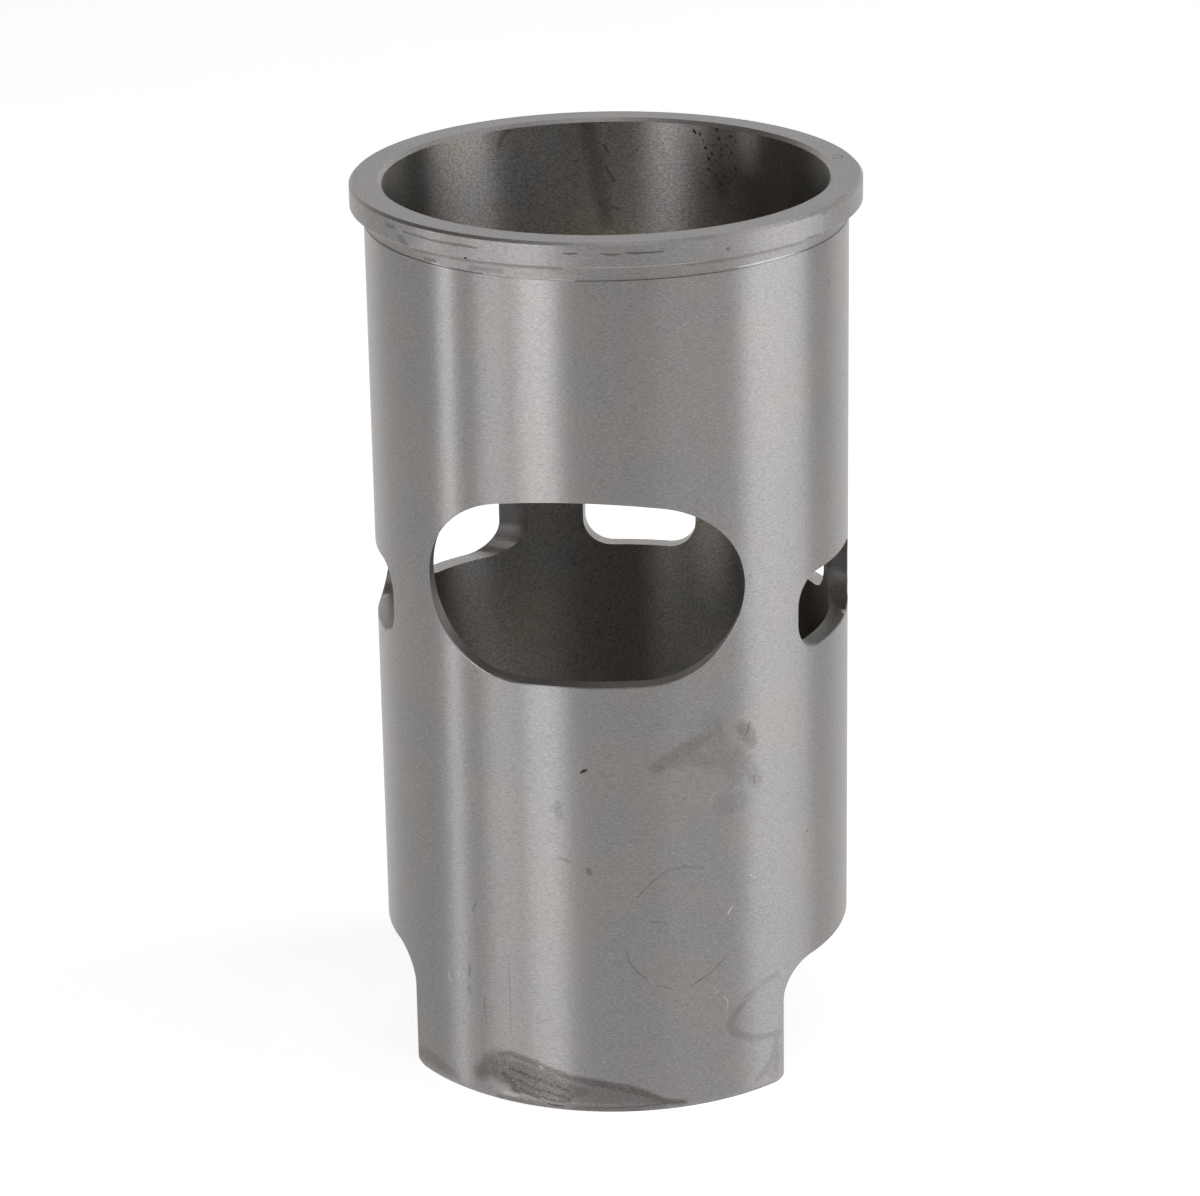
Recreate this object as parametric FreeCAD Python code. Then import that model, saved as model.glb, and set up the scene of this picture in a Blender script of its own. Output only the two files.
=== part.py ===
import FreeCAD, Part
import math
import os

# Cylinder liner of a ported two-stroke engine: one casting, turned, bored and milled
#
# Millimetres. The bore axis is Z, with +Z towards the cylinder head. The origin is on
# that axis at the lower end of the skirt, and the exhaust port faces -Y. Each port has
# its roof at a depth below the top face, because the ports are timed from there.

# Turned form
LENGTH = 133.6
BORE = 65.0
WALL = 2.7
FLANGE_OVERHANG = 2.0
FLANGE_THICKNESS = 3.6
FLANGE_TOP_BEVEL = 0.4
FLANGE_UNDER_BEVEL = 0.2
NECK_HEIGHT = 2.3
NECK_RELIEF = 0.15
NECK_LEDGE_BEVEL = 0.1
BORE_MOUTH_BEVEL = 0.55
SKIRT_LEAD_HEIGHT = 0.8
SKIRT_LEAD_DEPTH = 0.2
SKIRT_BORE_BEVEL = 0.3

# Exhaust port, straight through the front wall, with its width as an angle of the body
EXHAUST_SPAN = 80.8
EXHAUST_ROOF_DEPTH = 38.4
EXHAUST_HEIGHT = 27.8
EXHAUST_CROWN_RADIUS = 62.0

# Scavenge ports, with the bridges of wall before them and their widths as angles of the bore
SCAVENGE_ROOF_DEPTH = 54.8
SCAVENGE_CORNER = 4.5
EXHAUST_BRIDGE = 18.5
FRONT_TRANSFER_SPAN = 45.4
FRONT_TRANSFER_HEIGHT = 11.4
FRONT_TRANSFER_AIM = 45.0
TRANSFER_BRIDGE = 4.2
REAR_TRANSFER_SPAN = 39.9
REAR_TRANSFER_HEIGHT = 13.15
REAR_TRANSFER_AIM = 0.0
REAR_TRANSFER_TILT = 4.0
BOOST_SPAN = 31.6
BOOST_HEIGHT = 13.85

# Skirt, milled straight across so that a front and a rear tongue are left
SKIRT_CUT_HEIGHT = 18.4
SKIRT_CUT_CORNER = 5.3
FRONT_TONGUE_SPAN = 104.2
REAR_TONGUE_SPAN = 75.0
TONGUE_TIP_ROUND = 1.3

# Broken edge of the ports, where they open on the body
PORT_EDGE_BEVEL = 0.15

# Sizes that follow
bore_radius = BORE / 2
body_radius = bore_radius + WALL
neck_radius = body_radius - NECK_RELIEF
flange_radius = body_radius + FLANGE_OVERHANG
flange_base = LENGTH - FLANGE_THICKNESS
neck_base = flange_base - NECK_HEIGHT
cut_reach = flange_radius + WALL
front_transfer_start = EXHAUST_SPAN / 2 + EXHAUST_BRIDGE
front_transfer_end = front_transfer_start + FRONT_TRANSFER_SPAN
rear_transfer_start = front_transfer_end + TRANSFER_BRIDGE
rear_transfer_end = rear_transfer_start + REAR_TRANSFER_SPAN

AXIS = FreeCAD.Vector(0, 0, 1)
ORIGIN = FreeCAD.Vector(0, 0, 0)


def height_at(depth):
    """Height above the lower end of a level that lies this far below the top face."""
    return LENGTH - depth


def closed_face(edges):
    return Part.Face(Part.Wire(edges))


def line(start, end):
    return Part.makeLine(start, end)


def arc(centre, radius, start_angle, end_angle):
    """Arc in the plane X = 0, with its angles in degrees from +Y towards +Z."""
    def point(angle):
        turn = math.radians(angle)
        offset = FreeCAD.Vector(0, math.cos(turn), math.sin(turn)) * radius
        return centre + offset

    middle = (start_angle + end_angle) / 2
    return Part.Arc(point(start_angle), point(middle), point(end_angle)).toShape()


def on_wall(across, height):
    """Point of an outline that is drawn in the plane X = 0."""
    return FreeCAD.Vector(0, across, height)


def turned_body():
    """Liner without ports: half its section turned about the axis, begun at the front."""
    section = [
        (bore_radius, SKIRT_BORE_BEVEL),
        (bore_radius + SKIRT_BORE_BEVEL, 0),
        (body_radius - SKIRT_LEAD_DEPTH, 0),
        (body_radius, SKIRT_LEAD_HEIGHT),
        (body_radius, neck_base - NECK_LEDGE_BEVEL),
        (neck_radius, neck_base),
        (neck_radius, flange_base),
        (flange_radius - FLANGE_UNDER_BEVEL, flange_base),
        (flange_radius, flange_base + FLANGE_UNDER_BEVEL),
        (flange_radius, LENGTH - FLANGE_TOP_BEVEL),
        (flange_radius - FLANGE_TOP_BEVEL, LENGTH),
        (bore_radius + BORE_MOUTH_BEVEL, LENGTH),
        (bore_radius, LENGTH - BORE_MOUTH_BEVEL),
    ]
    corners = [FreeCAD.Vector(radius, 0, height) for radius, height in section]
    outline = Part.makePolygon(corners + corners[:1])
    body = Part.Face(outline).revolve(ORIGIN, AXIS, 360)
    body.rotate(ORIGIN, AXIS, -90)
    return body


def rounded_outline(left, right, floor, roof, corner):
    """Upright rectangle with four equal corners, as an end mill leaves it."""
    low = floor + corner
    high = roof - corner
    near = left + corner
    far = right - corner
    return closed_face([
        line(on_wall(near, floor), on_wall(far, floor)),
        arc(on_wall(far, low), corner, -90, 0),
        line(on_wall(right, low), on_wall(right, high)),
        arc(on_wall(far, high), corner, 0, 90),
        line(on_wall(far, roof), on_wall(near, roof)),
        arc(on_wall(near, high), corner, 90, 180),
        line(on_wall(left, high), on_wall(left, low)),
        arc(on_wall(near, low), corner, 180, 270),
    ])


def exhaust_outline():
    """Flat floor and crowned roof, joined at each side by one round that is tangent to both."""
    half_width = body_radius * math.sin(math.radians(EXHAUST_SPAN / 2))
    roof = height_at(EXHAUST_ROOF_DEPTH)
    floor = roof - EXHAUST_HEIGHT
    linear = 2 * EXHAUST_CROWN_RADIUS - EXHAUST_HEIGHT - half_width
    constant = half_width ** 2 + EXHAUST_HEIGHT ** 2 - 2 * EXHAUST_CROWN_RADIUS * EXHAUST_HEIGHT
    end_radius = math.sqrt(linear ** 2 - constant) - linear
    end_across = half_width - end_radius
    end_height = floor + end_radius
    crown_centre = roof - EXHAUST_CROWN_RADIUS
    tangent = math.degrees(math.atan2(end_height - crown_centre, end_across))
    return closed_face([
        line(on_wall(-end_across, floor), on_wall(end_across, floor)),
        arc(on_wall(end_across, end_height), end_radius, -90, tangent),
        arc(on_wall(0, crown_centre), EXHAUST_CROWN_RADIUS, tangent, 180 - tangent),
        arc(on_wall(-end_across, end_height), end_radius, 180 - tangent, 270),
    ])


def cutter(outline, heading):
    """Outline swept from the bore axis out through one wall, towards this heading from +X."""
    sweep = outline.extrude(FreeCAD.Vector(cut_reach, 0, 0))
    sweep.rotate(ORIGIN, AXIS, heading)
    return sweep


def transfer_cutter(start, end, height, aim, tilt):
    """Right-hand transfer port, aimed back from straight across and tilted down to the bore."""
    near = -bore_radius * math.cos(math.radians(start + aim))
    far = -bore_radius * math.cos(math.radians(end + aim))
    roof = height_at(SCAVENGE_ROOF_DEPTH)
    floor = roof - height
    sweep = rounded_outline(near, far, floor, roof, SCAVENGE_CORNER).extrude(
        FreeCAD.Vector(cut_reach, 0, 0))
    mouth = bore_radius * math.sin(math.radians((start + end) / 2 + aim))
    sweep.rotate(FreeCAD.Vector(mouth, 0, floor), FreeCAD.Vector(0, 1, 0), -tilt)
    sweep.rotate(ORIGIN, AXIS, -aim)
    return sweep


def transfer_pair(start, end, height, aim, tilt):
    right = transfer_cutter(start, end, height, aim, tilt)
    left = right.mirror(ORIGIN, FreeCAD.Vector(1, 0, 0))
    return [right, left]


def boost_cutter():
    half_width = bore_radius * math.sin(math.radians(BOOST_SPAN / 2))
    roof = height_at(SCAVENGE_ROOF_DEPTH)
    floor = roof - BOOST_HEIGHT
    return cutter(rounded_outline(-half_width, half_width, floor, roof, SCAVENGE_CORNER), 90)


def skirt_cutter():
    """Gap between the two tongues: round in its upper corners and over the tongue tips."""
    front = -body_radius * math.cos(math.radians(FRONT_TONGUE_SPAN / 2))
    rear = body_radius * math.cos(math.radians(REAR_TONGUE_SPAN / 2))
    roof = SKIRT_CUT_HEIGHT
    below = -TONGUE_TIP_ROUND
    front_tip = front - TONGUE_TIP_ROUND
    rear_tip = rear + TONGUE_TIP_ROUND
    corner = SKIRT_CUT_CORNER
    outline = closed_face([
        line(on_wall(rear_tip, below), on_wall(front_tip, below)),
        line(on_wall(front_tip, below), on_wall(front_tip, 0)),
        arc(on_wall(front_tip, TONGUE_TIP_ROUND), TONGUE_TIP_ROUND, -90, 0),
        line(on_wall(front, TONGUE_TIP_ROUND), on_wall(front, roof - corner)),
        arc(on_wall(front + corner, roof - corner), corner, 180, 90),
        line(on_wall(front + corner, roof), on_wall(rear - corner, roof)),
        arc(on_wall(rear - corner, roof - corner), corner, 90, 0),
        line(on_wall(rear, roof - corner), on_wall(rear, TONGUE_TIP_ROUND)),
        arc(on_wall(rear_tip, TONGUE_TIP_ROUND), TONGUE_TIP_ROUND, 180, 270),
        line(on_wall(rear_tip, 0), on_wall(rear_tip, below)),
    ])
    outline.translate(FreeCAD.Vector(-cut_reach, 0, 0))
    return outline.extrude(FreeCAD.Vector(2 * cut_reach, 0, 0))


def port_edges(shape):
    """Edges on the outside of the body that reach neither the skirt cut nor the neck."""
    found = []
    for edge in shape.Edges:
        box = edge.BoundBox
        ends = [math.hypot(vertex.X, vertex.Y) for vertex in edge.Vertexes]
        on_body = all(abs(end - body_radius) < PORT_EDGE_BEVEL / 10 for end in ends)
        at_port = box.ZMin > SKIRT_CUT_HEIGHT and box.ZMax < neck_base - NECK_LEDGE_BEVEL
        if on_body and at_port:
            found.append(edge)
    return found


def cylinder_liner():
    ports = [cutter(exhaust_outline(), -90), boost_cutter(), skirt_cutter()]
    ports += transfer_pair(front_transfer_start, front_transfer_end,
                           FRONT_TRANSFER_HEIGHT, FRONT_TRANSFER_AIM, 0)
    ports += transfer_pair(rear_transfer_start, rear_transfer_end,
                           REAR_TRANSFER_HEIGHT, REAR_TRANSFER_AIM, REAR_TRANSFER_TILT)
    liner = turned_body().cut(ports)
    return liner.makeChamfer(PORT_EDGE_BEVEL, port_edges(liner))


os.makedirs("parts", exist_ok=True)
cylinder_liner().exportStep("parts/cylinder_liner.step")
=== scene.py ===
import math
import bmesh
import bpy
from mathutils import Matrix, Vector


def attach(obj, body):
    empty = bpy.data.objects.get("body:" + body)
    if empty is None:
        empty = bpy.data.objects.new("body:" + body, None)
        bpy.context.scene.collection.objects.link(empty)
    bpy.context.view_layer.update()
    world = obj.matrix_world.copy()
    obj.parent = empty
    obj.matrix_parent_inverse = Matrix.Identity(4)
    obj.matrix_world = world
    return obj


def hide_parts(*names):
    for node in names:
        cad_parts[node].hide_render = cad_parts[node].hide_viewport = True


# Ported cylinder liner on a pale studio sweep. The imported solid's turned faces are made
# rounder, and each face gets the finish that its machining left on the cast iron.

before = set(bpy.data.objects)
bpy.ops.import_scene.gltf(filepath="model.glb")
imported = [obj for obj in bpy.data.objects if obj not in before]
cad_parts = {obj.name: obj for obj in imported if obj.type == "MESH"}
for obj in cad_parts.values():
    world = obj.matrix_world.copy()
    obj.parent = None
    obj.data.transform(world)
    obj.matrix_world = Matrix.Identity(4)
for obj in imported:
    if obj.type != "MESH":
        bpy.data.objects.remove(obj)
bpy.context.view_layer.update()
scene = bpy.context.scene
MM = 0.001

# Turned sizes of the liner, in millimetres
BORE_RADIUS = 32.5
BODY_RADIUS = 35.2
FLANGE_RADIUS = 37.2
LENGTH = 133.6
NECK_LEDGE = 127.7
NECK_LEDGE_BEVEL = 0.1
FLANGE_BEVEL = 0.4
SKIRT_LEAD_DEPTH = 0.2

# Heights between the bands of the body's finish, how far the edge of a mark wavers at most,
# and the slack that a limit between two finishes leaves round its faces
BAND_HEIGHTS = (14.0, 44.0, 66.0)
WAVER_REACH = 0.5
SLACK = 0.02

# Camera, from the rim, bore and skirt outlines in the photograph
PHOTO_WIDTH = 1200
PHOTO_HEIGHT = 1196
FOCAL_PIXELS = 4341.6
SENSOR = 36.0
CAMERA_AZIMUTH = math.radians(8.0)
CAMERA_REACH = 0.6101
CAMERA_HEIGHT = 0.2952
CAMERA_PAN = math.radians(0.178)
CAMERA_PITCH = math.radians(69.58)
CAMERA_ROLL = math.radians(-0.997)


def linear(hex_colour):
    """Colour written as sRGB hex, as the linear values that Blender takes."""
    shades = [int(hex_colour[at:at + 2], 16) / 255 for at in (1, 3, 5)]
    curve = [s / 12.92 if s <= 0.04045 else ((s + 0.055) / 1.055) ** 2.4 for s in shades]
    return (*curve, 1.0)


def add(tree, kind, inputs=None, **settings):
    """Adds a node with its settings. An input gets a value, a socket or a node's first output."""
    node = tree.nodes.new(kind)
    for name, value in settings.items():
        setattr(node, name, value)
    for key, value in (inputs or {}).items():
        if isinstance(value, bpy.types.Node):
            value = value.outputs[0]
        if isinstance(value, bpy.types.NodeSocket):
            tree.links.new(value, node.inputs[key])
        else:
            node.inputs[key].default_value = value
    return node


def round_the_object(azimuth, reach, height):
    """Place at this angle from the front towards the right, this far from the bore axis."""
    return Vector((reach * math.sin(azimuth), -reach * math.cos(azimuth), height))


# Camera
camera_data = bpy.data.cameras.new("photo_camera")
camera_data.sensor_width = SENSOR
camera_data.lens = FOCAL_PIXELS * SENSOR / PHOTO_WIDTH
camera_data.clip_start = 0.05
camera_data.clip_end = 20
camera = bpy.data.objects.new("photo_camera", camera_data)
scene.collection.objects.link(camera)
camera.matrix_world = (
    Matrix.Translation(round_the_object(CAMERA_AZIMUTH, CAMERA_REACH, CAMERA_HEIGHT))
    @ Matrix.Rotation(CAMERA_AZIMUTH + CAMERA_PAN, 4, "Z")
    @ Matrix.Rotation(CAMERA_PITCH, 4, "X")
    @ Matrix.Rotation(CAMERA_ROLL, 4, "Z"))
scene.camera = camera


# Marks are placed where the photograph shows them, and read on the wall that carries them
VIEW = camera.matrix_world.copy()


def sight_line(across, down):
    """Eye and direction through a pixel of the photograph, in millimetres."""
    pixel = Vector((across - PHOTO_WIDTH / 2, PHOTO_HEIGHT / 2 - down, -FOCAL_PIXELS))
    return VIEW.translation / MM, VIEW.to_3x3() @ pixel


def seen_on_wall(across, down, radius, far_wall):
    """Way round the wall and height, in mm, of what that pixel shows on a wall of this radius.

    The way starts at the middle of the near wall or of the far wall, and grows to the right.
    """
    eye, sight = sight_line(across, down)
    level = sight.xy.length_squared
    slope = eye.xy.dot(sight.xy) / level
    depth = slope ** 2 - (eye.xy.length_squared - radius ** 2) / level
    reach = -slope + math.sqrt(max(depth, 0)) * (1 if far_wall else -1)
    point = eye + sight * reach
    return radius * math.atan2(point.x, point.y if far_wall else -point.y), point.z


def seen_on_top(across, down):
    """Place on the top face, in mm, of what that pixel shows."""
    eye, sight = sight_line(across, down)
    point = eye + sight * ((LENGTH - eye.z) / sight.z)
    return point.x, point.y


def stroke_group():
    """Node group: strength on a tapered stroke from start to end, and 0 away from it."""
    tree = bpy.data.node_groups.new("stroke_on_wall", "ShaderNodeTree")
    for name, kind in (("Place", "Vector"), ("Start", "Vector"), ("End", "Vector"),
                       ("Start Half Width", "Float"), ("Half Width Gain", "Float"),
                       ("Blur", "Float"), ("Strength", "Float")):
        tree.interface.new_socket(name, in_out="INPUT", socket_type="NodeSocket" + kind)
    tree.interface.new_socket("Mask", in_out="OUTPUT", socket_type="NodeSocketFloat")
    given = add(tree, "NodeGroupInput").outputs
    run = add(tree, "ShaderNodeVectorMath", {0: given["End"], 1: given["Start"]},
              operation="SUBTRACT")
    lead = add(tree, "ShaderNodeVectorMath", {0: given["Place"], 1: given["Start"]},
               operation="SUBTRACT")
    ahead = add(tree, "ShaderNodeVectorMath", {0: lead, 1: run}, operation="DOT_PRODUCT")
    whole = add(tree, "ShaderNodeVectorMath", {0: run, 1: run}, operation="DOT_PRODUCT")
    share = add(tree, "ShaderNodeMath", {0: ahead.outputs["Value"], 1: whole.outputs["Value"]},
                operation="DIVIDE")
    share = add(tree, "ShaderNodeMath", {0: share, 1: 0.0}, operation="MAXIMUM")
    share = add(tree, "ShaderNodeMath", {0: share, 1: 1.0}, operation="MINIMUM")
    foot = add(tree, "ShaderNodeVectorMath", {0: run, 3: share}, operation="SCALE")
    gap = add(tree, "ShaderNodeVectorMath", {0: lead, 1: foot}, operation="DISTANCE")
    half = add(tree, "ShaderNodeMath", {0: share, 1: given["Half Width Gain"],
                                        2: given["Start Half Width"]}, operation="MULTIPLY_ADD")
    edge = add(tree, "ShaderNodeMath", {0: half, 1: given["Blur"]}, operation="ADD")
    mask = add(tree, "ShaderNodeMapRange", {
        "Value": gap.outputs["Value"], "From Min": half, "From Max": edge,
        "To Min": given["Strength"], "To Max": 0.0}, interpolation_type="SMOOTHSTEP")
    add(tree, "NodeGroupOutput", {"Mask": mask})
    return tree


STROKE = stroke_group()


def strokes(tree, place, marks, locate, low=-math.inf, high=math.inf):
    """Mask of marks that have a strength, a blur in mm, and the pixels that each runs by.

    Each pixel comes with the mark's half width there, in mm. Strokes that lie wholly below
    low or above high are left out, and the mask is 0 where none is left.
    """
    mask = 0.0
    for strength, blur, route in marks:
        spots = [(Vector((*locate(across, down), 0)), half) for across, down, half in route]
        for (start, half), (end, next_half) in zip(spots, spots[1:]):
            spare = max(half, next_half) + blur + WAVER_REACH
            if max(start.y, end.y) < low - spare or min(start.y, end.y) > high + spare:
                continue
            piece = add(tree, "ShaderNodeGroup", {
                "Place": place, "Start": start, "End": end, "Start Half Width": half,
                "Half Width Gain": next_half - half, "Blur": blur, "Strength": strength},
                node_tree=STROKE)
            mask = add(tree, "ShaderNodeMath", {0: mask, 1: piece}, operation="MAXIMUM")
    return mask


# Materials: grey cast iron throughout, with the finish that each machining step left
def new_material(name):
    material = bpy.data.materials.new(name)
    material.use_nodes = True
    material.node_tree.nodes.clear()
    return material, material.node_tree


def place_in_mm(tree):
    place = add(tree, "ShaderNodeTexCoord")
    return add(tree, "ShaderNodeVectorMath", {0: place.outputs["Object"], 3: 1 / MM},
               operation="SCALE")


def waver(tree, point):
    """Noise of a millimetre or so, that goes either way in each direction."""
    noise = add(tree, "ShaderNodeTexNoise", {"Vector": point, "Scale": 1.6, "Detail": 2.0})
    return add(tree, "ShaderNodeVectorMath", {0: noise.outputs["Color"], 1: (0.5, 0.5, 0.5)},
               operation="SUBTRACT")


def ragged(tree, place, noise, amount):
    """Moves the place about by this many mm, so that a smear on it has a ragged edge."""
    drift = add(tree, "ShaderNodeVectorMath", {0: noise, 1: (amount, amount, 0)},
                operation="MULTIPLY")
    return add(tree, "ShaderNodeVectorMath", {0: place, 1: drift}, operation="ADD")


def unrolled(tree, point, radius, far_wall=False):
    """Way round the wall and height, as seen_on_wall measures them."""
    parts = add(tree, "ShaderNodeSeparateXYZ", {0: point})
    ahead = add(tree, "ShaderNodeMath", {0: parts.outputs["Y"], 1: 1.0 if far_wall else -1.0},
                operation="MULTIPLY")
    angle = add(tree, "ShaderNodeMath", {0: parts.outputs["X"], 1: ahead}, operation="ARCTAN2")
    way = add(tree, "ShaderNodeMath", {0: angle, 1: radius}, operation="MULTIPLY")
    return add(tree, "ShaderNodeCombineXYZ", {"X": way, "Y": parts.outputs["Z"]})


def grain_noise(tree, point, round_mm, up_mm, detail=3.0):
    """Noise whose grains are this long round the axis and this tall along it."""
    size = add(tree, "ShaderNodeVectorMath", {0: point, 1: (1 / round_mm, 1 / round_mm, 1 / up_mm)},
               operation="MULTIPLY")
    return add(tree, "ShaderNodeTexNoise", {"Vector": size, "Scale": 1.0, "Detail": detail,
                                            "Roughness": 0.65})


def iron_colour(tree, point, warm, cool, grain, depth):
    """Iron between a warm and a cool grey in wide patches, with its grain in the shade."""
    patch_mm = 15.0
    patch = add(tree, "ShaderNodeTexNoise", {
        "Vector": point, "Scale": 1 / patch_mm, "Detail": 3.0})
    patch = add(tree, "ShaderNodeMapRange", {
        "Value": patch, "From Min": 0.35, "From Max": 0.65})
    base = add(tree, "ShaderNodeMix", {0: patch, 6: linear(warm), 7: linear(cool)},
               data_type="RGBA")
    shade = add(tree, "ShaderNodeMapRange", {
        "Value": grain, "From Min": 0.3, "From Max": 0.7, "To Min": 1 - depth, "To Max": 1 + depth})
    return add(tree, "ShaderNodeVectorMath", {0: base.outputs[2], 3: shade},
               operation="SCALE").outputs[0]


# Marks on the flange: scuffs and dashes of dirt round its side, and a pit
FLANGE_MARKS = (
    (0.35, 0.30, ((386, 224.5, 0.15), (394, 227, 0.15))),
    (0.45, 0.20, ((403, 231.5, 0.03), (418, 236, 0.08), (430, 240, 0.05), (446, 243, 0.1),
                  (460, 245, 0.12), (477, 248, 0.03))),
    (0.30, 0.50, ((400, 238, 0.3), (405, 243, 0.3))),
    (1.00, 0.08, ((465.0, 258, 0.12), (465.8, 258.2, 0.12))),
    (0.60, 0.14, ((563, 253.3, 0.02), (569, 253.8, 0.08), (577, 253.5, 0.02))),
    (0.55, 0.14, ((602, 254, 0.02), (612, 255, 0.06), (620, 254.3, 0.02))),
    (0.60, 0.14, ((626, 253, 0.03), (634, 253.3, 0.08), (645, 252.6, 0.05), (663, 251.6, 0.02))),
    (0.40, 0.20, ((727, 249, 0.12), (729, 249, 0.12))),
    (0.55, 0.14, ((807, 238, 0.03), (817, 235.5, 0.05), (822, 234, 0.02))),
    (0.50, 0.14, ((825, 232.5, 0.02), (835, 229, 0.06), (844, 223.5, 0.03))),
    (0.45, 0.12, ((799, 220.5, 0.03), (803, 218, 0.06), (808, 215.5, 0.02))),
    (0.25, 0.40, ((823, 213, 0.1), (827, 211, 0.1))),
)
# On the neck: two dark smears, and a dark line of painted shade, with some grime, under the
# flange's lower edge
NECK_SMEARS_AND_PAINTED_SHADE = (
    (0.40, 0.35, ((424, 258.5, 0.05), (434, 261, 0.1))),
    (0.25, 0.60, ((470, 268, 0.1), (500, 271, 0.1))),
    (0.30, 0.15, ((412, 249.2, 0.04), (440, 256.2, 0.09), (460, 260, 0.12), (480, 262.9, 0.12),
                  (500, 265, 0.12), (520, 266.8, 0.12), (540, 268.1, 0.1), (562, 269.2, 0.04))),
    (0.24, 0.15, ((688, 265, 0.03), (700, 263.6, 0.07), (720, 261, 0.1), (740, 257.2, 0.1),
                  (760, 253.3, 0.12), (780, 248.7, 0.12), (802, 242.8, 0.04))),
)
# Painted highlight: a light line along the flange's lower edge
FLANGE_GLINTS = (
    (0.20, 0.10, ((556, 268.1, 0.03), (580, 268.6, 0.1), (600, 268.6, 0.12), (620, 268.2, 0.12),
                  (640, 267.4, 0.1), (660, 266.2, 0.12), (680, 264.5, 0.1), (706, 261.5, 0.02))),
)
# Painted highlights: light lines along the neck ledge
LEDGE_GLINTS = (
    (0.42, 0.14, ((483, 274, 0.03), (500, 276.6, 0.07), (530, 279.6, 0.08), (560, 281, 0.04),
                  (574, 281, 0.02))),
    (0.30, 0.14, ((740, 267.4, 0.03), (760, 263.4, 0.1), (785, 257, 0.1), (804, 252, 0.03))),
    (0.30, 0.12, ((431, 263, 0.03), (440, 266, 0.08), (448, 268, 0.03))),
)

# Marks on the body: thin scratches and specks, smudges of oil, and the stain at the lower end
FINE_MARKS = (
    (0.90, 0.15, ((580.8, 772.6, 0.06), (583.5, 771.2, 0.2), (586.6, 769.7, 0.06))),
    (0.30, 0.18, ((559, 858, 0.06), (571, 862, 0.06))),
    (0.35, 0.35, ((588, 870, 0.2), (590, 873, 0.2))),
    (0.20, 0.50, ((557, 804, 0.3), (559, 817, 0.3))),
    (0.35, 0.14, ((475.5, 902, 0.04), (472.8, 911, 0.04))),
    (0.34, 0.12, ((637, 898, 0.04), (646, 888, 0.05), (657, 878, 0.03))),
    (0.20, 0.20, ((652, 922, 0.05), (667, 923, 0.05))),
    (0.34, 0.14, ((626.4, 951, 0.02), (629, 962, 0.04), (637, 971.5, 0.04), (647, 980, 0.03))),
    (0.35, 0.12, ((657, 985.4, 0.02), (671, 988.6, 0.03))),
    (0.36, 0.14, ((691, 986, 0.02), (700, 980, 0.04), (711.5, 972, 0.04), (726, 956.5, 0.02))),
    (0.14, 0.25, ((657, 878, 0.1), (668, 870, 0.1), (685, 867, 0.1), (703, 868, 0.1))),
    (0.32, 0.10, ((509, 962, 0.01), (510, 990, 0.04), (511.3, 1036, 0.01))),
    (0.28, 0.28, ((469.5, 965, 0.15), (469.5, 976, 0.1))),
    (0.30, 0.25, ((469, 986, 0.1), (470, 993, 0.1))),
    (0.16, 0.20, ((485, 999, 0.08), (484, 1006, 0.1), (485, 1013, 0.1), (486, 1023, 0.05))),
    (0.20, 0.20, ((537, 1023.5, 0.06), (549, 1019, 0.06))),
    (0.40, 0.16, ((806.6, 830.6, 0.1), (807.4, 831.2, 0.1))),
    (0.45, 0.20, ((828.5, 280, 0.08), (829, 285, 0.1))),
    (0.34, 0.20, ((749.5, 722, 0.03), (748, 728, 0.07), (746, 735, 0.05))),
    (0.28, 0.25, ((754, 776, 0.05), (754.5, 782, 0.07))),
    (0.14, 0.25, ((654, 724, 0.05), (661, 724.4, 0.05))),
    (0.45, 0.14, ((518, 1091, 0.05), (528, 1094, 0.07), (538, 1098, 0.07), (545, 1102, 0.04))),
    (0.75, 0.10, ((548, 1103.6, 0.05), (556, 1105.8, 0.1), (564, 1106, 0.04))),
    (0.35, 0.12, ((575, 1107.6, 0.04), (600, 1108.4, 0.05), (645, 1106, 0.05), (668, 1103, 0.03))),
)
SMUDGES = (
    (0.36, 1.50, ((656, 768, 0.1), (668, 760, 0.2), (682, 752, 0.45), (694, 744, 0.4),
                  (710, 735, 0.1))),
    (0.26, 1.30, ((672, 764, 0.2), (690, 757, 0.5), (712, 762, 0.3))),
    (0.20, 2.20, ((712, 724, 0.6), (716, 740, 0.8), (722, 756, 0.8), (738, 772, 0.6))),
    (0.44, 1.30, ((741, 727, 0.2), (747, 733, 0.7), (752, 742, 0.3))),
    (0.28, 1.50, ((738, 752, 0.3), (750, 768, 0.5), (757, 780, 0.3))),
    (0.16, 1.80, ((722, 806, 0.6), (741, 800, 0.6))),
    (0.22, 0.80, ((777, 974, 0.1), (764, 981.5, 0.15), (751.5, 993, 0.2), (743, 1004, 0.3))),
    (0.30, 0.80, ((743, 1004, 0.2), (735, 1014, 0.35), (731, 1024, 0.35), (733, 1030, 0.35),
                  (739, 1034, 0.3))),
    (0.28, 0.70, ((739, 1034, 0.3), (750, 1037, 0.2), (764, 1036.4, 0.15), (778, 1033, 0.2))),
    (0.28, 0.80, ((777, 1039, 0.1), (772, 1058, 0.1), (765, 1071, 0.2), (758, 1079, 0.1))),
    (0.22, 0.90, ((777, 1050, 0.5), (774, 1072, 0.5))),
)
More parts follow.
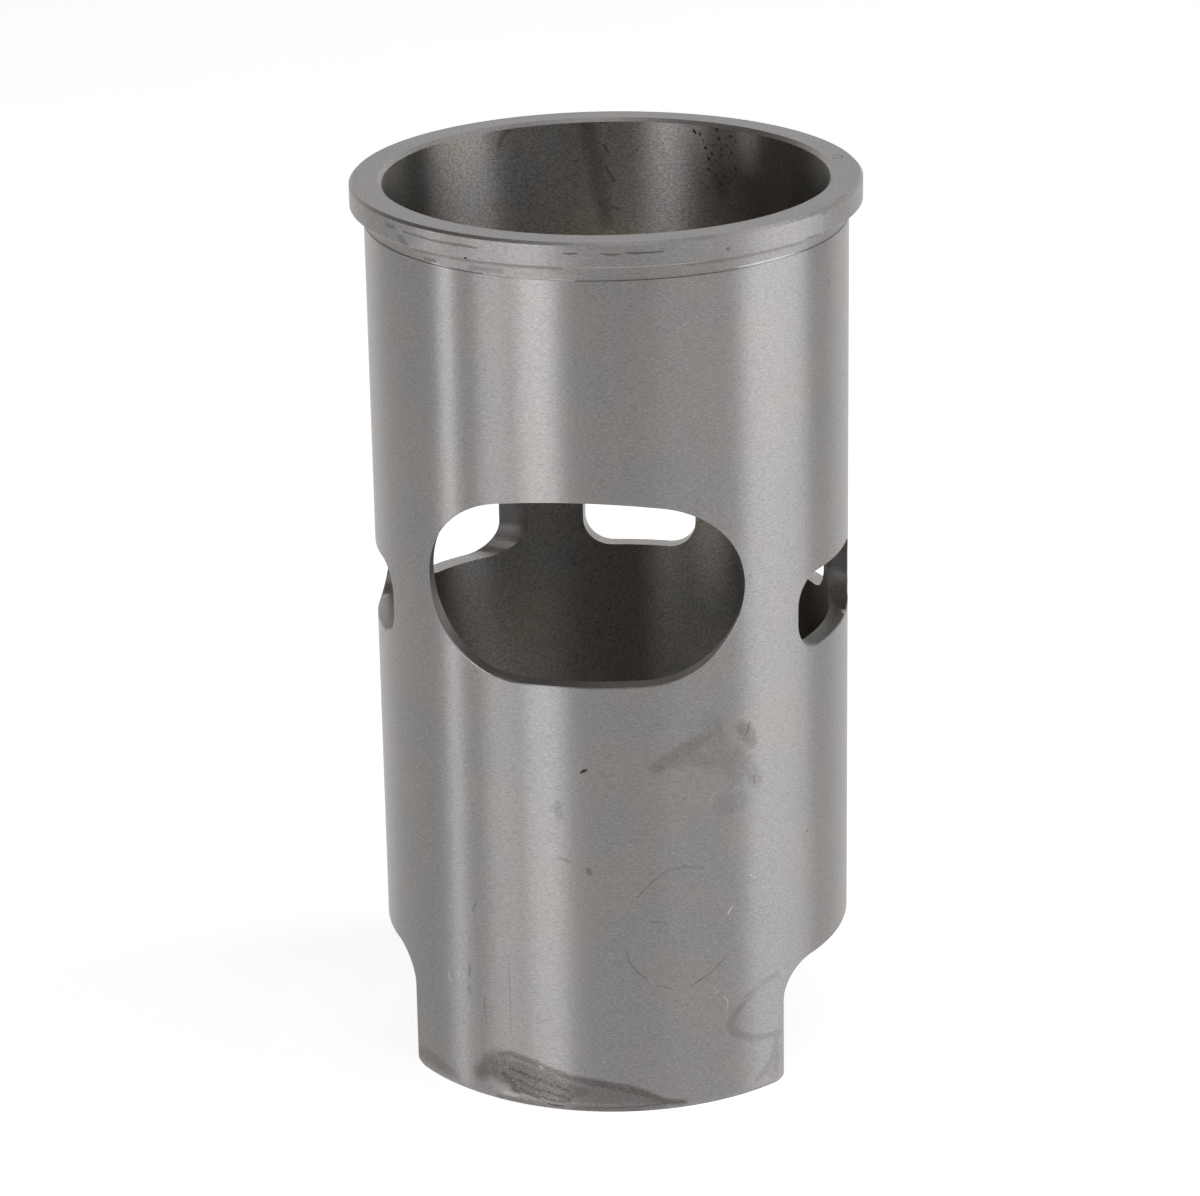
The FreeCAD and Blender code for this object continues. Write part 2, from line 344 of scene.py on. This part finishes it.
OIL_STAIN = (
    (0.66, 1.40, ((501, 1070, 1.4), (520, 1076, 1.8), (548, 1085, 1.6), (566, 1091, 1.1),
                  (586, 1092, 0.2))),
    (0.48, 1.00, ((560, 1089, 1.6), (580, 1092, 1.4), (612, 1095, 1.1), (640, 1098, 0.5),
                  (660, 1101, 0.1))),
    (0.58, 1.90, ((480, 1072, 0.2), (491, 1066, 0.8), (501, 1062, 1.0))),
    (0.64, 0.80, ((500, 1054, 0.1), (511, 1054, 0.15), (532, 1062, 0.2), (550, 1070.5, 0.15),
                  (566, 1076, 0.1))),
    (0.86, 1.10, ((504, 1074, 0.2), (512, 1081, 0.4), (516, 1089, 0.2))),
    (0.84, 0.60, ((510, 1069, 0.05), (520, 1072, 0.2), (530, 1077, 0.2), (545, 1082, 0.1),
                  (556, 1086, 0.15), (568, 1091, 0.05))),
    (0.70, 0.80, ((562, 1076, 0.1), (580, 1080, 0.2), (592, 1083, 0.3), (608, 1086, 0.3),
                  (625, 1089, 0.3), (638, 1091.5, 0.3), (650, 1096, 0.2), (660, 1100, 0.1),
                  (670, 1102, 0.05), (684, 1102.4, 0.03))),
    (0.84, 0.60, ((517, 1079, 0.1), (530, 1087, 0.15), (548, 1092, 0.1), (563, 1097, 0.15),
                  (570, 1100, 0.05))),
    (0.82, 0.40, ((520, 1089, 0.05), (538, 1096, 0.1), (556, 1101, 0.1), (568, 1102, 0.05))),
    (0.46, 0.90, ((500, 1097, 0.1), (530, 1104, 0.4), (570, 1108, 0.4), (630, 1109, 0.2),
                  (665, 1105, 0.1))),
    (0.28, 0.90, ((419, 1050, 0.3), (432, 1058, 0.5), (447, 1069, 0.4), (458, 1076, 0.3))),
    (0.34, 0.60, ((427, 1050, 0.1), (437, 1059, 0.3), (444, 1067, 0.15))),
)
BRIGHT_SCRATCHES = (
    (0.60, 0.10, ((728, 914, 0.04), (729.6, 910, 0.04), (732.4, 907, 0.03))),
    (0.30, 0.10, ((723.6, 995.7, 0.03), (727.9, 1001.4, 0.04), (727, 1008, 0.02))),
    (0.20, 0.10, ((710, 806, 0.02), (711.5, 798, 0.03), (714, 793, 0.03), (718, 792, 0.02))),
    (0.15, 0.10, ((738, 799, 0.03), (740, 804, 0.03))),
    (0.45, 0.10, ((750.5, 875, 0.05), (751.5, 875.6, 0.05))),
    (0.45, 0.10, ((754.5, 877, 0.05), (755.5, 877.4, 0.05))),
    (0.20, 0.10, ((677, 1011, 0.03), (687, 1007, 0.03))),
    (0.35, 0.12, ((716, 992.6, 0.05), (718, 991, 0.05))),
    (0.30, 0.14, ((449, 972, 0.05), (448.5, 977, 0.05), (452, 981, 0.05))),
    (0.25, 0.14, ((457, 971, 0.05), (459.5, 975, 0.05))),
    (0.16, 0.30, ((504, 1092.6, 0.05), (514, 1094.5, 0.25), (519, 1095.5, 0.05))),
    (0.22, 0.14, ((540, 1066, 0.05), (542, 1068, 0.1))),
)

# Marks in the bore's far wall, where the honing stone skipped and carbon is left
BORE_STREAKS = (
    (0.34, 0.50, ((510, 128, 0.05), (504, 134, 0.15), (500, 141, 0.15), (498, 149, 0.05))),
    (0.38, 1.60, ((585, 108, 0.2), (590, 140, 0.5), (598, 175, 0.6), (606, 221, 0.4))),
    (0.48, 0.40, ((584, 104, 0.05), (588, 128, 0.1), (596, 160, 0.1), (599, 186, 0.05),
                  (605, 214, 0.05))),
    (0.60, 0.30, ((604, 146, 0.08), (608, 151, 0.12))),
    (0.60, 0.30, ((606, 166, 0.08), (609, 173, 0.12), (614, 181, 0.08))),
    (0.65, 0.30, ((599, 202, 0.1), (604, 208, 0.14), (607, 211, 0.1))),
    (0.55, 0.30, ((614, 207, 0.08), (618, 209, 0.1))),
    (0.35, 1.40, ((712, 120, 0.5), (716, 160, 0.8), (722, 190, 0.6))),
)
BORE_SPECKS = tuple((strength, 0.12, ((across, down, size), (across + 1.2, down + 1.6, size)))
                    for strength, size, spots in (
    (1.00, 0.10, ((694, 131), (716, 129), (718, 138), (705, 147), (711, 153), (708, 158))),
    (0.85, 0.07, ((699, 134), (711, 126), (721, 149), (721, 155), (730, 136), (735, 141),
                  (715, 174), (708, 168), (720, 183), (731, 152), (735, 168))),
    (0.65, 0.05, ((706, 188), (731, 180), (729, 205), (762, 141), (637, 149), (689, 121),
                  (703, 140), (725, 144), (713, 145), (717, 161), (724, 168), (740, 154))))
                    for across, down in spots)

# Marks on the top face: a small dark ring, two faint smears and a dash
TOP_MARKS = (
    (0.60, 0.15, ((833, 156, 0.08), (837, 154.6, 0.08), (842, 155.4, 0.08), (842, 157.6, 0.08),
                  (837, 158.4, 0.08), (833, 157.4, 0.08))),
    (0.30, 0.40, ((837, 200, 0.15), (848, 194, 0.2))),
    (0.30, 0.40, ((819, 211, 0.15), (830, 206, 0.2))),
    (0.60, 0.15, ((829, 173.5, 0.1), (831, 176, 0.1))),
)


def ground_outside(name, warm, roughness, spread, surfaces, low=-math.inf, high=math.inf):
    """Turned or ground round: fine grain round the wall, dull from the graphite in the iron.

    The true marks of the wheel are about 0.02 mm apart, too fine to show, so the grain is
    drawn 0.15 mm tall and the shader's anisotropy gives the tall soft highlights. Each band
    of height has its own material, which holds only the marks that lie in it. Each list of
    marks has a tint, and the least share of it that a gap in the smear keeps.
    """
    smear_waver = 0.6
    line_waver = 0.12
    material, tree = new_material(name)
    point = place_in_mm(tree)
    grain = grain_noise(tree, point, 0.55, 0.15)
    speckle = grain_noise(tree, point, 0.45, 0.3, 2.0)
    noise = waver(tree, point)
    colour = iron_colour(tree, point, warm, "#939290", grain, 0.22)
    gaps = grain_noise(tree, point, 0.20, 0.16, 2.0)
    for marks, tint, cover, radius in surfaces:
        is_smear = cover < 1
        wall = ragged(tree, unrolled(tree, point, radius), noise,
                      smear_waver if is_smear else line_waver)
        mask = strokes(tree, wall, marks,
                       lambda across, down: seen_on_wall(across, down, radius, False), low, high)
        if not mask:
            continue
        if is_smear:
            broken = add(tree, "ShaderNodeMapRange", {
                "Value": gaps, "From Min": 0.35, "From Max": 0.62, "To Min": cover, "To Max": 1.1})
            mask = add(tree, "ShaderNodeMath", {0: mask, 1: broken}, operation="MULTIPLY")
        colour = add(tree, "ShaderNodeMix", {0: mask, 6: colour, 7: linear(tint)},
                     data_type="RGBA").outputs[2]
    uneven = grain_noise(tree, point, 6.0, 4.0, 2.0)
    ripple = add(tree, "ShaderNodeBump", {"Height": uneven, "Distance": 0.03 * MM, "Strength": 1.0})
    pitted = add(tree, "ShaderNodeBump", {"Height": speckle, "Distance": 0.008 * MM,
                                          "Strength": 1.0, "Normal": ripple})
    tangent = add(tree, "ShaderNodeTangent", direction_type="RADIAL", axis="Z")
    shader = add(tree, "ShaderNodeBsdfPrincipled", {
        "Base Color": colour, "Metallic": 1.0, "Roughness": roughness, "Normal": pitted,
        "Anisotropic": spread, "Anisotropic Rotation": 0.25, "Tangent": tangent})
    add(tree, "ShaderNodeOutputMaterial", {"Surface": shader})
    return material


def bored_inside():
    """Bored and rough honed: the same iron, browner and more open, with black pores.

    The stone's scratches and the pores are under 0.1 mm wide, too fine to show, so they are
    drawn as specks of 0.3 mm and grains of 0.45 mm.
    """
    material, tree = new_material("grey_cast_iron_bored_inside")
    point = place_in_mm(tree)
    grain = grain_noise(tree, point, 0.45, 0.24, 4.0)
    speckle = grain_noise(tree, point, 0.28, 0.24, 2.0)
    colour = iron_colour(tree, point, "#968e82", "#8f8e8a", grain, 0.44)
    pores = add(tree, "ShaderNodeMapRange", {
        "Value": speckle, "From Min": 0.60, "From Max": 0.74, "To Max": 0.7})
    colour = add(tree, "ShaderNodeMix", {0: pores, 6: colour, 7: linear("#35302b")},
                 data_type="RGBA").outputs[2]
    wall = unrolled(tree, point, BORE_RADIUS, far_wall=True)
    noise = waver(tree, point)
    for marks, tint, amount in ((BORE_STREAKS, "#4d4238", 0.8), (BORE_SPECKS, "#1b1714", 0.6)):
        mask = strokes(tree, ragged(tree, wall, noise, amount), marks,
                       lambda across, down: seen_on_wall(across, down, BORE_RADIUS, True))
        colour = add(tree, "ShaderNodeMix", {0: mask, 6: colour, 7: linear(tint)},
                     data_type="RGBA").outputs[2]
    dull = add(tree, "ShaderNodeMapRange", {
        "Value": grain, "From Min": 0.3, "From Max": 0.7, "To Min": 0.38, "To Max": 0.46})
    tangent = add(tree, "ShaderNodeTangent", direction_type="RADIAL", axis="Z")
    scored = add(tree, "ShaderNodeBump", {"Height": grain, "Distance": 0.015 * MM, "Strength": 1.0})
    shader = add(tree, "ShaderNodeBsdfPrincipled", {
        "Base Color": colour, "Metallic": 1.0, "Roughness": dull, "Normal": scored,
        "Anisotropic": 0.95, "Anisotropic Rotation": 0.25, "Tangent": tangent})
    add(tree, "ShaderNodeOutputMaterial", {"Surface": shader})
    return material


def faced_ends():
    """Faced square in the lathe: an even satin.

    Its rings are about 0.1 mm apart, too fine to show, and grains of 0.4 mm stand for them.
    """
    material, tree = new_material("grey_cast_iron_faced_ends")
    point = place_in_mm(tree)
    grain = grain_noise(tree, point, 0.4, 0.4)
    colour = iron_colour(tree, point, "#938f8c", "#8e8d8d", grain, 0.26)
    flat = add(tree, "ShaderNodeVectorMath", {0: point, 1: (1, 1, 0)}, operation="MULTIPLY")
    mask = strokes(tree, ragged(tree, flat, waver(tree, point), 0.2), TOP_MARKS, seen_on_top)
    colour = add(tree, "ShaderNodeMix", {0: mask, 6: colour, 7: linear("#3f3a35")},
                 data_type="RGBA").outputs[2]
    scored = add(tree, "ShaderNodeBump", {"Height": grain, "Distance": 0.006 * MM, "Strength": 0.5})
    shader = add(tree, "ShaderNodeBsdfPrincipled", {
        "Base Color": colour, "Metallic": 1.0, "Roughness": 0.42, "Normal": scored})
    add(tree, "ShaderNodeOutputMaterial", {"Surface": shader})
    return material


def cut_edges():
    """Milled through the wall, or bevelled in the lathe: duller and paler than the body.

    The cutter's marks are too fine to show, and grains of 0.35 mm stand for them.
    """
    material, tree = new_material("grey_cast_iron_cut_edges")
    point = place_in_mm(tree)
    grain = grain_noise(tree, point, 0.35, 0.35)
    colour = iron_colour(tree, point, "#a39e97", "#9f9d9a", grain, 0.22)
    scored = add(tree, "ShaderNodeBump", {"Height": grain, "Distance": 0.008 * MM, "Strength": 0.8})
    shader = add(tree, "ShaderNodeBsdfPrincipled", {
        "Base Color": colour, "Metallic": 1.0, "Roughness": 0.42, "Normal": scored})
    add(tree, "ShaderNodeOutputMaterial", {"Surface": shader})
    return material


def studio_sweep():
    """Pale painted floor that shows white to the eye and to the metal, and keeps the shadow."""
    material, tree = new_material("pale_paper_sweep")
    paint = add(tree, "ShaderNodeBsdfDiffuse", {"Color": linear("#dcdcdc")})
    place = add(tree, "ShaderNodeTexCoord")
    reach = add(tree, "ShaderNodeVectorMath", {0: place.outputs["Object"]}, operation="LENGTH")
    outside = add(tree, "ShaderNodeMath", {0: reach.outputs["Value"], 1: BORE_RADIUS * MM},
                  operation="GREATER_THAN")
    path = add(tree, "ShaderNodeLightPath")
    seen = add(tree, "ShaderNodeMath", {0: outside, 1: path.outputs["Is Glossy Ray"]},
               operation="MULTIPLY")
    seen = add(tree, "ShaderNodeMath", {0: seen, 1: path.outputs["Is Camera Ray"]},
               operation="MAXIMUM")
    seen = add(tree, "ShaderNodeMath", {0: seen, 1: path.outputs["Is Transmission Ray"]},
               operation="MAXIMUM")
    lift = add(tree, "ShaderNodeMath", {0: seen, 1: 0.72}, operation="MULTIPLY")
    glow = add(tree, "ShaderNodeEmission", {"Strength": lift})
    both = add(tree, "ShaderNodeAddShader", {0: paint, 1: glow})
    add(tree, "ShaderNodeOutputMaterial", {"Surface": both})
    return material


# The liner's own piece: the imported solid, with its turned faces made rounder
def rounder_tree(finishes):
    """Splits each facet, and puts the new points at the radius of those that they lie between.

    Then it coats the faces. Each finish has a material, and the least and greatest radius and
    height of the middles of its faces, in mm. A later finish covers an earlier one.
    """
    tree = bpy.data.node_groups.new("rounder_turned_faces", "GeometryNodeTree")
    tree.interface.new_socket("Geometry", in_out="INPUT", socket_type="NodeSocketGeometry")
    splits = tree.interface.new_socket("Splits", in_out="INPUT", socket_type="NodeSocketInt")
    tree.interface.new_socket("Geometry", in_out="OUTPUT", socket_type="NodeSocketGeometry")
    splits.default_value = 1
    given = add(tree, "NodeGroupInput")
    position = add(tree, "GeometryNodeInputPosition")
    flat = add(tree, "ShaderNodeVectorMath", {0: position, 1: (1, 1, 0)}, operation="MULTIPLY")
    radius = add(tree, "ShaderNodeVectorMath", {0: flat}, operation="LENGTH")
    kept = add(tree, "GeometryNodeStoreNamedAttribute", {
        "Geometry": given.outputs["Geometry"], "Name": "radius", "Value": radius.outputs["Value"]},
        data_type="FLOAT", domain="POINT")
    split = add(tree, "GeometryNodeSubdivideMesh",
                {"Mesh": kept, "Level": given.outputs["Splits"]})
    wanted = add(tree, "GeometryNodeInputNamedAttribute", {"Name": "radius"}, data_type="FLOAT")
    stretch = add(tree, "ShaderNodeMath", {0: wanted, 1: radius.outputs["Value"]},
                  operation="DIVIDE")
    outward = add(tree, "ShaderNodeCombineXYZ", {"X": stretch, "Y": stretch, "Z": 1.0})
    moved = add(tree, "ShaderNodeVectorMath", {0: position, 1: outward}, operation="MULTIPLY")
    placed = add(tree, "GeometryNodeSetPosition", {"Geometry": split, "Position": moved})
    single = add(tree, "GeometryNodeRealizeInstances", {"Geometry": placed})
    height = add(tree, "ShaderNodeSeparateXYZ", {0: position}).outputs["Z"]
    coated = single
    for material, *limits in finishes:
        inside = []
        for value, (least, most) in zip((wanted, height), limits):
            middle = (least + most) / 2
            inside.append(add(tree, "ShaderNodeMath", {
                0: value, 1: middle * MM, 2: (most - middle) * MM}, operation="COMPARE"))
        chosen = add(tree, "ShaderNodeMath", {0: inside[0], 1: inside[1]}, operation="MULTIPLY")
        coated = add(tree, "GeometryNodeSetMaterial", {
            "Geometry": coated, "Selection": chosen, "Material": material})
    add(tree, "NodeGroupOutput", {0: coated})
    return tree, splits.identifier


def cut_level(mesh, heights):
    """Merges the loose faces of the mesh and cuts them at these heights in mm."""
    made = bmesh.new()
    made.from_mesh(mesh)
    bmesh.ops.remove_doubles(made, verts=made.verts, dist=0.002 * MM)
    for height in heights:
        bmesh.ops.bisect_plane(made, geom=[*made.verts, *made.edges, *made.faces],
                               plane_co=(0, 0, height * MM), plane_no=(0, 0, 1))
    bmesh.ops.triangulate(made, faces=made.faces)
    made.to_mesh(mesh)
    made.free()
    return mesh


def exact_normals(mesh):
    """Gives turned faces the normals of the true cylinder or cone, and leaves the rest smooth.

    A turned face looks out from the axis, or in, and hardly along the way round. A level face
    keeps its own normal.
    """
    sharp_edge = math.radians(25)
    most_along = 0.06
    least_out = 0.2
    least_level = 0.9999
    mesh.shade_smooth()
    mesh.set_sharp_from_angle(angle=sharp_edge)
    up = Vector((0, 0, 1))
    normals = []
    for face in mesh.polygons:
        outward = Vector((face.center.x, face.center.y, 0)).normalized()
        along = abs(face.normal.dot(up.cross(outward)))
        out = face.normal.dot(outward)
        turned = along < most_along and abs(out) > least_out
        level = abs(face.normal.z) > least_level
        for corner in face.vertices:
            point = mesh.vertices[corner].co
            radial = Vector((point.x, point.y, 0)).normalized()
            exact = radial * out + up * face.normal.z
            normals.append(exact if turned else face.normal if level else Vector())
    mesh.normals_split_custom_set([n.normalized() if n.length else n for n in normals])


BODY_MARKS = (
    (SMUDGES, "#4a4843", 0.4, BODY_RADIUS),
    (OIL_STAIN, "#3d3733", 0.45, BODY_RADIUS),
    (FINE_MARKS, "#332e2a", 1, BODY_RADIUS),
    (BRIGHT_SCRATCHES, "#e2e0dd", 1, BODY_RADIUS))
bands = list(zip((0.0, *BAND_HEIGHTS), (*BAND_HEIGHTS, NECK_LEDGE)))
body = [ground_outside(f"grey_cast_iron_ground_body_{low:g}_to_{high:g}_mm", "#97938e", 0.38, 0.97,
                       BODY_MARKS, low, high) for low, high in bands]
# The flange's material also holds painted shade under the flange's lower edge, and painted
# highlights along that edge and along the neck ledge
flange = ground_outside("grey_cast_iron_turned_flange", "#948f8a", 0.46, 0.78, (
    (FLANGE_MARKS, "#2b2622", 1, FLANGE_RADIUS),
    (NECK_SMEARS_AND_PAINTED_SHADE, "#3d3733", 1, BODY_RADIUS),
    (FLANGE_GLINTS, "#fbfafa", 1, FLANGE_RADIUS),
    (LEDGE_GLINTS, "#fbfafa", 1, BODY_RADIUS)))
bore = bored_inside()
cut = cut_edges()
faced = faced_ends()
beyond = 2 * LENGTH
anywhere = (-beyond, beyond)
on_body = (BODY_RADIUS - SKIRT_LEAD_DEPTH, beyond)
tree, splits_input = rounder_tree((
    (cut, anywhere, anywhere),
    *((material, on_body, band) for material, band in zip(body, bands)),
    (flange, on_body, (NECK_LEDGE - NECK_LEDGE_BEVEL - SLACK, LENGTH - FLANGE_BEVEL)),
    (bore, (0, BORE_RADIUS + SLACK), anywhere),
    (faced, anywhere, (LENGTH - SLACK, beyond))))
merged = cut_level(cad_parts["cylinder_liner"].data.copy(), BAND_HEIGHTS)
liner = bpy.data.objects.new("liner", merged)
scene.collection.objects.link(liner)
rounder = liner.modifiers.new("rounder", "NODES")
rounder.node_group = tree
rounder[splits_input] = 1
bpy.context.view_layer.update()
evaluated = liner.evaluated_get(bpy.context.evaluated_depsgraph_get())
finished = bpy.data.meshes.new_from_object(evaluated)
liner.modifiers.clear()
liner.data = finished
exact_normals(finished)
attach(liner, "root")
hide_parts("cylinder_liner")


# Studio: a floor that rises behind the object, with soft lamps round it and one above
def sweep_mesh():
    half_width = 8.0
    risen_left = 2.2
    risen_right = 1.5
    front = -12.0
    back = 1.7
    bend = 0.5
    bend_steps = 16
    top = 2.2
    line = [(-half_width, half_width, front, 0.0), (-half_width, half_width, back - bend, 0.0)]
    for step in range(bend_steps + 1):
        turn = math.radians(90 * step / bend_steps)
        line.append((-risen_left, risen_right, back - bend + bend * math.sin(turn),
                     bend - bend * math.cos(turn)))
    line.append((-risen_left, risen_right, back, top))
    points = [(x, y, z) for left, right, y, z in line for x in (left, right)]
    faces = [(2 * at, 2 * at + 1, 2 * at + 3, 2 * at + 2) for at in range(len(line) - 1)]
    mesh = bpy.data.meshes.new("sweep")
    mesh.from_pydata(points, [], faces)
    mesh.shade_smooth()
    return mesh


sweep = bpy.data.objects.new("sweep", sweep_mesh())
sweep.data.materials.append(studio_sweep())
scene.collection.objects.link(sweep)


def soft_lamp(name, azimuth, reach, height, width, tall, power, aim_height):
    """Lamp at this angle from the camera's side, aimed at a height on the bore axis."""
    data = bpy.data.lights.new(name, "AREA")
    data.shape = "RECTANGLE"
    data.size = width
    data.size_y = tall
    data.energy = power
    data.color = linear("#f4f5ff")[:3]
    lamp = bpy.data.objects.new(name, data)
    scene.collection.objects.link(lamp)
    lamp.location = round_the_object(CAMERA_AZIMUTH + math.radians(azimuth), reach, height)
    aim = Vector((0, 0, aim_height)) - lamp.location
    lamp.rotation_euler = aim.to_track_quat("-Z", "Y").to_euler()
    lamp.visible_camera = False


# The two lamps at the left are low, so that they don't reach over the rim into the bore
lamp_reach = 1.1
for name, azimuth, width, foot, top, power in (
        ("soft_lamp_front_left", -34, 0.37, 0.05, 1.45, 6.5),
        ("soft_lamp_left", -79.5, 0.14, 0.01, 0.30, 1.12),
        ("dim_lamp_front_left", -54.5, 0.30, 0.01, 0.30, 1.18),
        ("dim_lamp_front_right", 38, 0.60, 0.05, 1.45, 1.3),
        ("soft_lamp_right", 84.5, 0.78, 0.05, 1.45, 11.4)):
    middle = (foot + top) / 2
    soft_lamp(name, azimuth, lamp_reach, middle, width, top - foot, power, middle)
soft_lamp("soft_lamp_above", 20, 0.45, 1.5, 0.8, 0.8, 2.2, LENGTH * MM)

world = bpy.data.worlds.new("studio_room")
world.use_nodes = True
world.node_tree.nodes.clear()
room = add(world.node_tree, "ShaderNodeBackground", {"Color": linear("#615d5a"), "Strength": 1.0})
add(world.node_tree, "ShaderNodeOutputWorld", {"Surface": room})
scene.world = world

scene.view_settings.view_transform = "Standard"
